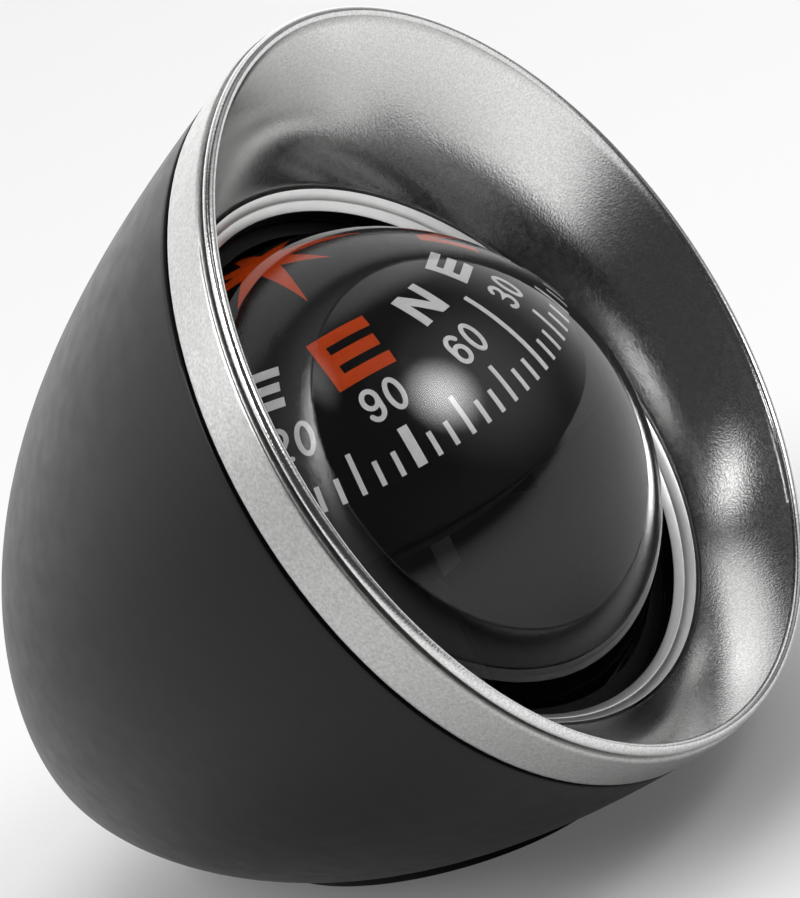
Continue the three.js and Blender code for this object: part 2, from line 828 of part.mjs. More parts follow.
function magnets() {
  const top = floatBase - 2 * fixedGap - carrierThickness;
  return [['magnet_left', -1], ['magnet_right', 1]].map(([name, side]) => {
    const bar = new THREE.BoxGeometry(magnetWidth, magnetLength, magnetHeight);
    const mesh = piece(name, bar, lacquer);
    mesh.position.set(side * magnetReach, 0, top - magnetHeight / 2);
    return mesh;
  });
}

compass.add(housingShell(), adhesivePad());
mouthFrame.add(
  rimBand(),
  funnel(),
  trimRing(),
  retainingCollar(),
  ...collarScrews(),
  feltRing(),
  socketCup(),
  swivelRing(),
  waveSpring(),
  capsuleDome(),
  capsuleBowl(),
  capsuleSeal(),
  diaphragm(),
  diaphragmCap(),
  plugParts(),
);
ballFrame.add(
  pivotPost(),
  pivotPin(),
  jewelCup(),
  jewelBush(),
  compassCard(),
  cardFloat(),
  magnetCarrier(),
  ...magnets(),
);

export default compass;
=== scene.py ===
# Car dashboard compass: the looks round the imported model. Metres, +Z up, the mouth
# towards -Y. Sizes are written in millimetres and multiplied by mm.
import math

import bpy
from mathutils import Matrix, Vector


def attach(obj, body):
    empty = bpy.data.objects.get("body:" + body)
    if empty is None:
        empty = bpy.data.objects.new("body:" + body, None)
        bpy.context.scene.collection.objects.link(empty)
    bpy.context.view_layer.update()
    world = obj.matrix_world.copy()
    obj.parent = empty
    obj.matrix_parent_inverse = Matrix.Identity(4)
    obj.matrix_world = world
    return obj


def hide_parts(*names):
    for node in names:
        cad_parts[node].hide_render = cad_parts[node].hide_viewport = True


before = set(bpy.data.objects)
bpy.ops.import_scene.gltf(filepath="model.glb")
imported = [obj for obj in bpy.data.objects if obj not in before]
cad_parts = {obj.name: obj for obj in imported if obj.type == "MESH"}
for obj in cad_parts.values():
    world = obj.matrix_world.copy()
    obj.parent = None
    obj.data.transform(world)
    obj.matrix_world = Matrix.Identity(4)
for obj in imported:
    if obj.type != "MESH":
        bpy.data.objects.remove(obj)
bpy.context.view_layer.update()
mm = 0.001

# Camera: close to the front left, a little above, rolled to the left as the photograph is
camera_data = bpy.data.cameras.new("camera")
camera_data.sensor_fit = "HORIZONTAL"
camera_data.sensor_width = 36.0
camera_data.lens = 127.97
camera_data.clip_start = 0.005
camera = bpy.data.objects.new("camera", camera_data)
camera.location = Vector((-137.794, -102.930, 75.267)) * mm
camera.rotation_mode = "AXIS_ANGLE"
camera.rotation_axis_angle = (1.8223, 0.7284, -0.2022, -0.6546)
bpy.context.scene.collection.objects.link(camera)
bpy.context.scene.camera = camera
bpy.context.scene.view_settings.view_transform = "Standard"


# Shader maths: an amount is a number socket that Python's own signs work on
class Amount:
    def __init__(self, finish, socket):
        self.finish = finish
        self.socket = socket

    def sum_with(self, operation, first, second):
        maths = self.finish.node(
            "ShaderNodeMath", {"operation": operation}, {0: first, 1: second})
        return maths[0]

    def __add__(self, other):
        return self.sum_with("ADD", self, other)

    def __mul__(self, other):
        return self.sum_with("MULTIPLY", self, other)

    __radd__ = __add__
    __rmul__ = __mul__


# One finish is one material: its shader's own values, and what varies linked into it
class Finish:
    def __init__(self, name, colour, roughness, metallic=0.0):
        self.material = bpy.data.materials.new(name)
        self.material.use_nodes = True
        self.tree = self.material.node_tree
        self.shader = self.tree.nodes["Principled BSDF"]
        self.out = self.tree.nodes["Material Output"]
        self.set("Base Color", (*colour, 1.0))
        self.set("Roughness", roughness)
        self.set("Metallic", metallic)

    def set(self, socket, value):
        self.fill(self.shader.inputs[socket], value)

    def fill(self, socket, value):
        if isinstance(value, Amount):
            value = value.socket
        if isinstance(value, bpy.types.NodeSocket):
            self.tree.links.new(value, socket)
        else:
            socket.default_value = value

    def node(self, kind, settings=None, inputs=None):
        made = self.tree.nodes.new(kind)
        for name, value in (settings or {}).items():
            if name == "stops":
                for number, (place, shade) in enumerate(value):
                    while len(made.color_ramp.elements) <= number:
                        made.color_ramp.elements.new(place)
                    made.color_ramp.elements[number].position = place
                    made.color_ramp.elements[number].color = (shade, shade, shade, 1.0)
            else:
                setattr(made, name, value)
        for name, value in (inputs or {}).items():
            self.fill(made.inputs[name], value)
        return [self.wrapped(socket) for socket in made.outputs if socket.enabled]

    def wrapped(self, socket):
        return Amount(self, socket) if socket.type == "VALUE" else socket

    def place(self):
        """The piece's own object coordinates."""
        return self.node("ShaderNodeTexCoord")[3]

    def grain(self, per_metre, detail=2.0, roughness=0.5, distortion=0.0):
        """Fine noise, so many grains to the metre."""
        return self.node("ShaderNodeTexNoise", None, {
            "Vector": self.place(), "Scale": per_metre, "Detail": detail,
            "Roughness": roughness, "Distortion": distortion})[0]

    def ramp(self, amount, *stops):
        """An amount run through stops of (place, level)."""
        return self.node("ShaderNodeValToRGB", {"stops": stops}, {0: amount})[0]

    def eased_range(self, amount, first, last, at_first, at_last):
        """An amount that goes gently from one level to another between two places."""
        return self.node("ShaderNodeMapRange", {"interpolation_type": "SMOOTHSTEP"}, {
            0: amount, 1: first, 2: last, 3: at_first, 4: at_last})[0]

    def shades(self, amount, dark, light):
        """A colour between two, by an amount from 0 to 1."""
        return self.node("ShaderNodeMix", {"data_type": "RGBA"}, {
            0: amount, 6: (*dark, 1.0), 7: (*light, 1.0)})[0]

    def relief(self, height, depth):
        """Raises the surface by an amount times a depth."""
        self.set("Normal", self.node("ShaderNodeBump", None, {
            "Height": height, "Distance": depth, "Strength": 1.0})[0])

    def covered(self, share, other):
        """Shows another shader over this one's by a share, and puts both on the surface."""
        both = self.node("ShaderNodeMixShader", None, {
            0: share, 1: self.shader.outputs[0], 2: other})[0]
        self.tree.links.new(both, self.out.inputs["Surface"])


# Floor: a wide sheet of pale paper under the compass. Its colour and glow are painted dark
# where the photographer stands, as painted shade, and its colour is painted darker round the
# foot, as a painted contact shadow. The camera sees it white, with the real shadow round the
# foot kept as well. Near and far are distances from the foot's middle, along the shade's way or
# all round.
floor_size = 2400.0
# Paper and glow colours: pale, and dark for the painted shade on the camera's side
paper_pale = (0.80, 0.80, 0.80)
paper_painted_shade = (0.05, 0.05, 0.05)
white_pale = (1.0, 1.0, 1.0)
white_painted_shade = (0.12, 0.12, 0.12)
# Where the painted shade on the camera's side begins and ends
painted_shade_way = (-0.8, -0.6, 0.0)
painted_shade_near = 50.0
painted_shade_far = 190.0
# Painted contact shadow round the foot: where it begins and ends, and how light the paper stays at
# the foot
painted_shadow_near = 16.0
painted_shadow_far = 38.0
painted_shadow_lightness = 0.35
white_near = 24.0
white_far = 65.0
white_least = 0.10
white_most = 0.85
bpy.ops.object.select_all(action="DESELECT")
bpy.ops.mesh.primitive_plane_add(size=floor_size * mm)
floor = bpy.context.object
floor.name = "floor"
paper = Finish("pale_paper", paper_pale, 0.9)
paper.set("Specular IOR Level", 0.0)
paper.set("Roughness", paper.ramp(paper.grain(900.0, detail=3.0), (0.0, 0.85), (1.0, 0.95)))
ahead = paper.node("ShaderNodeVectorMath", {"operation": "DOT_PRODUCT"}, {
    0: paper.place(), 1: painted_shade_way})[0]
away = paper.node("ShaderNodeVectorMath", {"operation": "LENGTH"}, {0: paper.place()})[0]
# Painted shade: the paper's colour and glow fall to dark towards the camera
out_of_painted_shade = paper.eased_range(ahead, painted_shade_near * mm, painted_shade_far * mm, 1.0, 0.0)
# Painted contact shadow: the paper's colour darkens round the foot
painted_foot_shadow = paper.eased_range(away, painted_shadow_near * mm, painted_shadow_far * mm, painted_shadow_lightness, 1.0)
whitened = paper.eased_range(away, white_near * mm, white_far * mm, white_least, white_most)
# Base colour: pale paper, darkened by the painted shade and by the painted contact shadow
paper.set("Base Color", paper.shades(out_of_painted_shade * painted_foot_shadow, paper_painted_shade, paper_pale))
# Glow colour: white, and dark in the painted shade on the camera's side
white = paper.node("ShaderNodeEmission", None, {
    "Color": paper.shades(out_of_painted_shade, white_painted_shade, white_pale), "Strength": 1.0})[0]
ray = paper.node("ShaderNodeLightPath")
camera_ray, glossy_ray, transmission_ray = ray[0], ray[3], ray[6]
paper.covered((camera_ray + glossy_ray + transmission_ray) * whitened, white)
floor.data.materials.append(paper.material)

# World: a room that is pale low behind the compass and falls off to dark in front of it,
# where the photographer stands, and overhead
bright_way = (0.50, 0.75, -0.43)
dark_end = -0.30
bright_end = 0.95
dark_strength = 0.05
bright_strength = 1.7
world = bpy.data.worlds.new("studio")
bpy.context.scene.world = world
world.use_nodes = True
sky = world.node_tree
sky_way = sky.nodes.new("ShaderNodeTexCoord")
sky_turn = sky.nodes.new("ShaderNodeVectorMath")
sky_turn.operation = "DOT_PRODUCT"
sky_turn.inputs[1].default_value = bright_way
sky.links.new(sky_way.outputs["Generated"], sky_turn.inputs[0])
sky_fall = sky.nodes.new("ShaderNodeMapRange")
sky_fall.interpolation_type = "SMOOTHSTEP"
sky_fall.inputs["From Min"].default_value = dark_end
sky_fall.inputs["From Max"].default_value = bright_end
sky_fall.inputs["To Min"].default_value = dark_strength
sky_fall.inputs["To Max"].default_value = bright_strength
sky.links.new(sky_turn.outputs["Value"], sky_fall.inputs["Value"])
sky_light = sky.nodes["Background"]
sky_light.inputs["Color"].default_value = (1.0, 1.0, 1.0, 1.0)
sky.links.new(sky_fall.outputs["Result"], sky_light.inputs["Strength"])


# Lamps: soft boxes placed round the ball by azimuth (0 in front, 90 at the right) and
# elevation in degrees, by distance and size, and given the brightness of their cloth
ball_place = Vector((0.0, -5.2, 21.7))


def soft_box(name, azimuth, elevation, away, width, height, brightness):
    lamp_data = bpy.data.lights.new(name, "AREA")
    lamp_data.shape = "RECTANGLE"
    lamp_data.size = width * mm
    lamp_data.size_y = height * mm
    lamp_data.energy = brightness * math.pi * width * height * mm * mm
    lamp = bpy.data.objects.new(name, lamp_data)
    flat = math.cos(math.radians(elevation))
    towards = Vector((
        math.sin(math.radians(azimuth)) * flat,
        -math.cos(math.radians(azimuth)) * flat,
        math.sin(math.radians(elevation))))
    lamp.location = (ball_place + towards * away) * mm
    lamp.rotation_euler = (-towards).to_track_quat("-Z", "Y").to_euler()
    bpy.context.scene.collection.objects.link(lamp)
    return lamp


def softened(lamp, even=0.0):
    """Lets a soft box fade to its edges, as cloth over a bulb does, past an even middle."""
    edge = 0.5
    lamp.data.use_nodes = True
    cloth = lamp.data.node_tree
    across = cloth.nodes.new("ShaderNodeNewGeometry")
    middle = cloth.nodes.new("ShaderNodeVectorMath")
    middle.operation = "DISTANCE"
    middle.inputs[1].default_value = (edge, edge, 0.0)
    cloth.links.new(across.outputs["Parametric"], middle.inputs[0])
    fade = cloth.nodes.new("ShaderNodeMapRange")
    fade.interpolation_type = "SMOOTHSTEP"
    fade.inputs["From Min"].default_value = even
    fade.inputs["From Max"].default_value = edge
    fade.inputs["To Min"].default_value = 1.0
    fade.inputs["To Max"].default_value = 0.0
    cloth.links.new(middle.outputs["Value"], fade.inputs["Value"])
    cloth.links.new(fade.outputs["Result"], cloth.nodes["Emission"].inputs["Strength"])


softened(soft_box("front_lamp", 2.0, 38.5, 400.0, 240.0, 240.0, 13.6))
softened(soft_box("front_cloth", 22.0, 30.0, 430.0, 720.0, 560.0, 0.8))
softened(soft_box("top_strip", -50.0, 76.0, 450.0, 120.0, 300.0, 1.9))
softened(soft_box("right_strip", 90.0, 56.0, 450.0, 240.0, 600.0, 0.8), 0.2)
soft_box("left_box", -128.0, 42.0, 450.0, 300.0, 300.0, 6.0)

# Housing shell: one moulding of black plastic with a soft-touch coat, an egg cut off by
# the sloping seam in front and by the foot below. A ledge inside carries the socket cup,
# and the mouth is rebated for the silver band.
mouth_turn = math.radians(65.0)
mouth_place = Matrix.Translation(ball_place * mm) @ Matrix.Rotation(mouth_turn, 4, "X")
seam_turn = math.radians(9.0)
ball_radius = 17.8
ball_clearance = 0.35
socket_radius = ball_radius + ball_clearance
shoulder_length = 57.4
tail_length = 36.3
nose_start = 30.6
widest_radius = 24.926
taper_power = 5
housing_wall = 1.5
mouth_wall = 0.6
seam_ahead = 11.5
groove_ahead = 15.1
fixed_gap = 0.15
curved_gap = 0.3
round_sides = 144
weld = 0.0005


def egg_radius(ahead):
    """The egg's radius at a place along the mouth's axis, counted from the ball's middle."""
    share = (shoulder_length - ahead) / (shoulder_length + tail_length)
    return widest_radius * (1.0 - share ** taper_power)


def egg_slope(ahead):
    length = shoulder_length + tail_length
    share = (shoulder_length - ahead) / length
    return widest_radius * taper_power * share ** (taper_power - 1) / length


def egg_point(ahead, inset):
    """The egg's skin at a place along the axis, moved square inwards by an inset."""
    slope = egg_slope(ahead)
    lean = math.hypot(1.0, slope)
    return egg_radius(ahead) - inset / lean, ahead + inset * slope / lean


def lip_point(angle, plane_ahead, inset):
    """Where the egg's skin, moved inwards, meets a plane parallel to the seam."""
    ahead = plane_ahead
    for _ in range(24):
        radius, height = egg_point(ahead, inset)
        gap = (plane_ahead + radius * math.cos(angle) * math.sin(seam_turn)) / math.cos(seam_turn)
        ahead += gap - height
    return egg_point(ahead, inset)


def arc(radius, centre, first, last, steps):
    """Points on an arc about a centre (radius, height), angles in degrees from +radius."""
    points = []
    for step in range(steps + 1):
        angle = math.radians(first + (last - first) * step / steps)
        points.append((
            centre[0] + radius * math.cos(angle), centre[1] + radius * math.sin(angle)))
    return points


def fresh(name):
    """Names the object just made and keeps its mesh under the same name."""
    piece = bpy.context.object
    piece.name = name
    piece.data.name = name
    return piece


def set_in_place(piece, place):
    """Puts a mesh made about the origin where it belongs, with its object at the origin."""
    bpy.ops.object.mode_set(mode="OBJECT")
    piece.data.transform(place)
    piece.data.update()


def swept(name, section_at, sides=round_sides, place=mouth_place):
    """A closed body round the mouth: a sheet of squares rolled up, each column of it
    following the section at its own angle, counted from the top."""
    sections = [section_at(math.tau * side / sides) for side in range(sides)]
    rows = len(sections[0])
    bpy.ops.object.select_all(action="DESELECT")
    bpy.ops.mesh.primitive_grid_add(x_subdivisions=sides, y_subdivisions=rows, size=2.0)
    piece = fresh(name)
    for vertex in piece.data.vertices:
        side = round((vertex.co.x + 1.0) * sides / 2.0)
        row = round((vertex.co.y + 1.0) * rows / 2.0) % rows
        angle = math.tau * side / sides
        radius, height = sections[side % sides][row]
        vertex.co = Vector((radius * math.sin(angle), radius * math.cos(angle), height)) * mm
    bpy.ops.object.mode_set(mode="EDIT")
    bpy.ops.mesh.select_all(action="SELECT")
    bpy.ops.mesh.remove_doubles(threshold=weld * mm)
    bpy.ops.mesh.normals_make_consistent(inside=False)
    set_in_place(piece, place)
    return piece


def turned(name, section, sides=round_sides, place=mouth_place):
    """A closed body turned on a lathe: the section is traced point by point, then spun."""
    bpy.ops.object.select_all(action="DESELECT")
    bpy.ops.mesh.primitive_plane_add(size=mm)
    piece = fresh(name)
    bpy.ops.object.mode_set(mode="EDIT")
    bpy.ops.mesh.merge(type="CENTER")
    bpy.ops.transform.translate(value=Vector((section[0][0], 0.0, section[0][1])) * mm)
    for near, far in zip(section, section[1:]):
        step = Vector((far[0] - near[0], 0.0, far[1] - near[1])) * mm
        bpy.ops.mesh.extrude_region_move(TRANSFORM_OT_translate={"value": step})
    bpy.ops.mesh.select_all(action="SELECT")
    bpy.ops.mesh.spin(
        steps=sides, angle=math.tau, center=(0.0, 0.0, 0.0), axis=(0.0, 0.0, 1.0))
    bpy.ops.mesh.select_all(action="SELECT")
    bpy.ops.mesh.remove_doubles(threshold=weld * mm)
    bpy.ops.mesh.normals_make_consistent(inside=False)
    set_in_place(piece, place)
    return piece


def turned_ring(name, section, sides=round_sides, place=mouth_place):
    """A turned body with a hole through it: its section is closed before it is spun."""
    return turned(name, [*section, section[0]], sides, place)


def cut_off(piece, point, away):
    """Saws a closed body along a plane, drops the side that away points to, and closes it."""
    only(piece)
    bpy.ops.object.mode_set(mode="EDIT")
    bpy.ops.mesh.select_all(action="SELECT")
    bpy.ops.mesh.bisect(
        plane_co=Vector(point) * mm, plane_no=away, use_fill=True, clear_outer=True)
    bpy.ops.object.mode_set(mode="OBJECT")


def only(piece):
    """Selects one piece and nothing else."""
    bpy.ops.object.select_all(action="DESELECT")
    piece.select_set(True)
    bpy.context.view_layer.objects.active = piece


def combined(piece, tool, operation):
    """Joins or cuts with another body, which is used up."""
    only(piece)
    change = piece.modifiers.new("cut", "BOOLEAN")
    change.operation = operation
    change.object = tool
    change.solver = "EXACT"
    bpy.ops.object.modifier_apply(modifier=change.name)
    bpy.data.objects.remove(tool)


def eased(piece, width, angle=35.0, segments=3):
    """Rounds the edges that are sharper than an angle."""
    only(piece)
    ease = piece.modifiers.new("edges", "BEVEL")
    ease.width = width * mm
    ease.segments = segments
    ease.limit_method = "ANGLE"
    ease.angle_limit = math.radians(angle)
    ease.miter_outer = "MITER_ARC"
    bpy.ops.object.modifier_apply(modifier=ease.name)


def smooth(piece, angle=35.0):
    """Smooth shading between faces that meet at less than an angle, flats kept flat."""
    only(piece)
    bpy.ops.object.shade_smooth_by_angle(angle=math.radians(angle))
    weigh = piece.modifiers.new("flats", "WEIGHTED_NORMAL")
    weigh.keep_sharp = True
    bpy.ops.object.modifier_apply(modifier=weigh.name)


def dressed(piece, finish, slot, body, *nodes):
    """Gives a finished piece its material, its body and the nodes it stands for. The slot is not
    used.
    """
    piece.data.materials.clear()
    piece.data.materials.append(finish.material)
    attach(piece, body)
    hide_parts(*nodes)


def refinish(finish, *nodes):
    """A carried-over solid keeps its mesh and takes a finish."""
    for node in nodes:
        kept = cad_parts[node]
        for place in kept.material_slots:
            place.material = finish.material


def nose(inset, steps=10):
    """The rounded tail of the egg, from the axis to where the flank begins."""
    slope = egg_slope(-nose_start)
    start_radius = egg_radius(-nose_start)
    cap_radius = start_radius * math.hypot(1.0, slope)
    centre = start_radius * slope - nose_start
    last = math.degrees(math.atan2(-slope, 1.0))
    points = arc(cap_radius - inset, (0.0, centre), -90.0, last, steps)
    points[0] = (0.0, points[0][1])
    return points[:-1]


def flank(inset, first, last, steps, crowding=1.3):
    """The egg's side between two places along the axis, crowded near the tail."""
    return [egg_point(first + (last - first) * (step / steps) ** crowding, inset)
            for step in range(steps + 1)]


skin_ease = 0.06
lip_ease = 0.12
lip_room = 0.4


def housing_outside(angle):
    lip = lip_point(angle, seam_ahead, skin_ease + lip_ease)
    edge = lip_point(angle, seam_ahead - lip_ease, skin_ease)
    half = lip_point(angle, seam_ahead - 0.3 * lip_ease, skin_ease + 0.3 * lip_ease)
    side = flank(skin_ease, -nose_start, edge[1] - lip_room, 48)
    centre = (0.0, seam_ahead / math.cos(seam_turn))
    return [*nose(skin_ease), *side, edge, half, lip, centre]


cup_wall = 1.15
ledge_radius = socket_radius + cup_wall + curved_gap
ledge_top = -0.55
ledge_bottom = -2.05
rebate_depth = 0.9
past_mouth = 2.0


def housing_inside(angle):
    step_low = lip_point(angle, seam_ahead - rebate_depth, housing_wall)
    step_high = lip_point(angle, seam_ahead - rebate_depth, mouth_wall)
    out = lip_point(angle, seam_ahead + past_mouth, mouth_wall)
    low = flank(housing_wall, -nose_start, ledge_bottom, 28)
    high = flank(housing_wall, ledge_top, step_low[1], 10, 1.0)
    ledge = [(ledge_radius, low[-1][1]), (ledge_radius, high[0][1])]
    centre = (0.0, (seam_ahead + past_mouth) / math.cos(seam_turn))
    return [*nose(housing_wall), *low, *ledge, *high, step_high, out, centre]


foot_height = 1.0
foot_ease = 0.25
floor_top = 2.1
housing = swept("housing_shell_skin", housing_outside)
cut_off(housing, (0.0, 0.0, foot_height), (0.0, 0.0, -1.0))
eased(housing, foot_ease, 50.0)
room = swept("housing_room", housing_inside)
cut_off(room, (0.0, 0.0, floor_top), (0.0, 0.0, -1.0))
combined(housing, room, "DIFFERENCE")
smooth(housing, 40.0)

soft_touch = Finish("soft_touch_black", (0.006, 0.006, 0.0062), 0.40)
soft_touch.set("Specular IOR Level", 0.2)
soft_spots = soft_touch.grain(9000.0, detail=3.0, roughness=0.6)
soft_touch.relief(soft_spots, 0.004 * mm)
soft_touch.set("Roughness", soft_touch.ramp(soft_touch.grain(700.0), (0.3, 0.37), (0.7, 0.43)))
dressed(housing, soft_touch, "black_shell", "housing", "housing_shell")

# Adhesive pad: a stamped oval of closed-cell foam tape, stuck under the foot. Its other
# side sticks to the dashboard.
pad_half_width = 8.0
pad_half_length = 13.0
pad_ease = 0.12
bpy.ops.object.select_all(action="DESELECT")
bpy.ops.mesh.primitive_cylinder_add(
    vertices=96, radius=pad_half_width * mm, depth=foot_height * mm)
pad = fresh("adhesive_pad_foam")
oval = Matrix.Diagonal((1.0, pad_half_length / pad_half_width, 1.0, 1.0))
set_in_place(pad, Matrix.Translation((0.0, 0.0, foot_height / 2.0 * mm)) @ oval)
eased(pad, pad_ease, 50.0)
smooth(pad)
foam = Finish("black_foam_tape", (0.012, 0.012, 0.012), 0.92)
cells = foam.node("ShaderNodeTexVoronoi", None, {"Vector": foam.place(), "Scale": 4200.0})[0]
foam.relief(cells, 0.05 * mm)
foam.set("Base Color", foam.shades(cells, (0.006, 0.006, 0.006), (0.022, 0.022, 0.022)))
dressed(pad, foam, "foam", "housing", "adhesive_pad")

# Rim band: satin silver ring, die cast and bead blasted, that carries the egg's shape on
# from the seam to the groove behind the bead. Its spigot sits in the housing's rebate.
seam_gap = 0.25
band_web = 0.5
band_depth = 1.2
band_ease = 0.15
spigot_length = 0.7
band_start = seam_ahead + seam_gap
band_web_top = band_start + band_web
spigot_start = seam_ahead - spigot_length


def band_section(angle):
    skin = []
    for ahead, inset in (
            (band_start, band_ease), (band_start + 0.3 * band_ease, 0.3 * band_ease),
            (band_start + band_ease, 0.0), (band_start + 2.0 * band_ease, 0.0)):
        skin.append(lip_point(angle, ahead, inset + skin_ease))
    for share in (0.25, 0.5, 0.75):
        skin.append(lip_point(angle, band_start + share * (groove_ahead - band_start), skin_ease))
    for ahead, inset in (
            (groove_ahead - 2.0 * band_ease, 0.0), (groove_ahead - band_ease, 0.0),
            (groove_ahead - 0.3 * band_ease, 0.3 * band_ease), (groove_ahead, band_ease)):
        skin.append(lip_point(angle, ahead, inset + skin_ease))
    inside = [
        lip_point(angle, groove_ahead, mouth_wall),
        lip_point(angle, band_web_top, mouth_wall),
        lip_point(angle, band_web_top, band_depth),
        lip_point(angle, spigot_start, band_depth),
        lip_point(angle, spigot_start, mouth_wall + fixed_gap),
        lip_point(angle, band_start, mouth_wall + fixed_gap),
    ]
    return [*skin, *inside]


band = swept("rim_band_silver", band_section)
smooth(band, 50.0)

satin = Finish("satin_silver", (0.50, 0.50, 0.495), 0.34, 1.0)
sand = satin.grain(5200.0, detail=3.0, roughness=0.65)
satin.relief(sand, 0.012 * mm)
satin.set("Roughness", satin.ramp(satin.grain(1500.0, detail=3.0), (0.3, 0.30), (0.7, 0.42)))
satin.set("Base Color", satin.shades(
    satin.ramp(sand, (0.36, 0.0), (0.64, 1.0)), (0.41, 0.41, 0.405), (0.55, 0.55, 0.545)))
dressed(band, satin, "satin_silver", "housing", "rim_band")

# Funnel: one thin sheet pressed to a flared bowl, chromed and blasted, deep above and
# shallow below. Its edge is rolled to a bead over the band, and its foot stands on the collar.
bead_radius = 0.35
bead_gap = 0.12
bead_ahead = groove_ahead + bead_gap + bead_radius
bead_inset = 0.23
ring_room = 0.4
ring_width = 1.05
ring_ahead = 6.9
ring_rise = 0.95
ring_radius = ball_radius + ring_room
ring_outer = ring_radius + ring_width
funnel_wall = 0.45
funnel_foot = (ring_outer + fixed_gap, ring_ahead + ring_rise)
funnel_flare = 0.04
funnel_back_start = 0.4
collar_seat = 5.95


def sheet_points(start, end, shares, wall):
    """Points down the flared sheet, moved back by a wall."""
    length = math.hypot(end[0] - start[0], end[1] - start[1])
    across = ((start[1] - end[1]) / length, (end[0] - start[0]) / length)
    points = []
    for share in shares:
        shift = wall - 4.0 * share * (1.0 - share) * funnel_flare * length
        points.append(tuple(
            start[axis] + (end[axis] - start[axis]) * share + across[axis] * shift
            for axis in (0, 1)))
    return points


def funnel_section(angle):
    centre = lip_point(angle, bead_ahead, bead_inset + bead_radius)
    bead = arc(bead_radius, centre, -90.0, 180.0, 18)
    top = bead[-1]
    down = [step / 24 for step in range(1, 25)]
    low = [funnel_back_start + (1.0 - funnel_back_start) * step / 12 for step in range(13)]
    front = sheet_points(top, funnel_foot, down, 0.0)
    back = sheet_points(top, funnel_foot, low, funnel_wall)
    seat = [(funnel_foot[0], collar_seat), (funnel_foot[0] + funnel_wall, collar_seat)]
    neck_inset = mouth_wall + fixed_gap
    neck = [lip_point(angle, groove_ahead - funnel_wall, neck_inset),
            lip_point(angle, groove_ahead + fixed_gap, neck_inset)]
    return [*bead, *front, *seat, *back[::-1][1:], *neck]


funnel = swept("funnel_pressed", funnel_section, 192)
smooth(funnel, 40.0)

blasted_chrome = Finish("blasted_chrome", (0.74, 0.74, 0.735), 0.16, 1.0)
wrinkles = blasted_chrome.grain(6500.0, detail=2.0, roughness=0.6)
blasted_chrome.relief(wrinkles, 0.010 * mm)
blasted_chrome.set("Base Color", blasted_chrome.shades(
    blasted_chrome.ramp(blasted_chrome.grain(7600.0, detail=2.0), (0.38, 0.0), (0.62, 1.0)),
    (0.66, 0.66, 0.655), (0.82, 0.82, 0.815)))
blasted_chrome.set("Roughness", blasted_chrome.ramp(
    blasted_chrome.grain(2200.0, detail=3.0), (0.3, 0.13), (0.7, 0.19)))
dressed(funnel, blasted_chrome, "bowl_silver", "housing", "funnel")

# Trim ring: light silver, turned with a fine groove round its slope, set round the ball's
# window. Its bore is blackened like the collar under it.
ring_middle = ring_radius + ring_width / 2.0
slope_middle = ring_ahead + ring_rise / 2.0
groove_half = 0.05
groove_depth = 0.1
ring_ease = 0.04
trim = turned_ring("trim_ring_silver", [
    (ring_outer, collar_seat),
    (ring_outer, ring_ahead + ring_rise),
    (ring_middle + groove_half, slope_middle + groove_half),
    (ring_middle, slope_middle - groove_depth),
    (ring_middle - groove_half, slope_middle - groove_half),
    (ring_radius, ring_ahead),
    (ring_radius, collar_seat),
], 192)
eased(trim, ring_ease, 30.0)
smooth(trim, 30.0)
ring_silver = Finish("ring_silver", (0.88, 0.88, 0.875), 0.42, 1.0)
ring_silver.relief(ring_silver.grain(6000.0, detail=2.0), 0.006 * mm)
ring_silver.set("Roughness", ring_silver.ramp(
    ring_silver.grain(1800.0, detail=3.0), (0.3, 0.38), (0.7, 0.46)))
dressed(trim, ring_silver, "satin_silver", "housing", "trim_ring")
collar_black = Finish("collar_black", (0.003, 0.003, 0.0033), 0.3)
collar_black.set("Specular IOR Level", 0.1)
collar_black.relief(collar_black.grain(1500.0, detail=2.0), 0.002 * mm)
collar_black.set("Roughness", collar_black.ramp(
    collar_black.grain(900.0), (0.3, 0.25), (0.7, 0.35)))
trim.data.materials.append(collar_black.material)
mouth_axis = mouth_place.to_3x3() @ Vector((0.0, 0.0, 1.0))
bore_reach = ring_radius + 0.02
bore_lean = 0.2
for face in trim.data.polygons:
    out = face.center - ball_place * mm
    reach = (out - mouth_axis * out.dot(mouth_axis)).length
    in_bore = abs(face.normal.dot(mouth_axis)) < bore_lean and reach < bore_reach * mm
    face.material_index = 1 if in_bore else 0

# Ball socket: the black collar closes over the ball's front and clamps the felt ring.
# Three brass screws, sunk into it under the trim ring, hold it to the black cup behind,
# which stands on the ledge.
collar_top = 5.8
collar_back = 4.6
skirt_back = 2.7
collar_reach = 20.9
skirt_outer = 18.45
collar_ease = 0.08
collar_steps = 8
screw_reach = 19.85
screw_length = 3.4
hole_head = 1.1
hole_shank = 0.75
hole_seat = 0.35
hole_cone = 0.75
hole_past = 1.0


def round_ball(radius, height):
    """A point on the sphere about the ball at a place along the axis."""
    return math.sqrt(radius * radius - height * height), height


collar = turned_ring("retaining_collar_gloss", [
    (skirt_outer, skirt_back), (skirt_outer, collar_back), (collar_reach, collar_back),
    (collar_reach, collar_top), round_ball(socket_radius, collar_top),
    *[round_ball(socket_radius, collar_top - (collar_top - skirt_back) * step / collar_steps)
      for step in range(1, collar_steps + 1)],
])
eased(collar, collar_ease, 45.0)
hole_top = collar_top + hole_past
hole_bottom = collar_top - screw_length - hole_past
for screw in range(3):
    angle = math.radians(90.0 + 120.0 * screw)
    spot = Vector((screw_reach * math.cos(angle), screw_reach * math.sin(angle), 0.0)) * mm
    sunk = turned("screw_hole", [
        (0.0, hole_top), (hole_head, hole_top), (hole_head, collar_top - hole_seat),
        (hole_shank, collar_top - hole_cone), (hole_shank, hole_bottom), (0.0, hole_bottom)],
        24, mouth_place @ Matrix.Translation(spot))
    combined(collar, sunk, "DIFFERENCE")
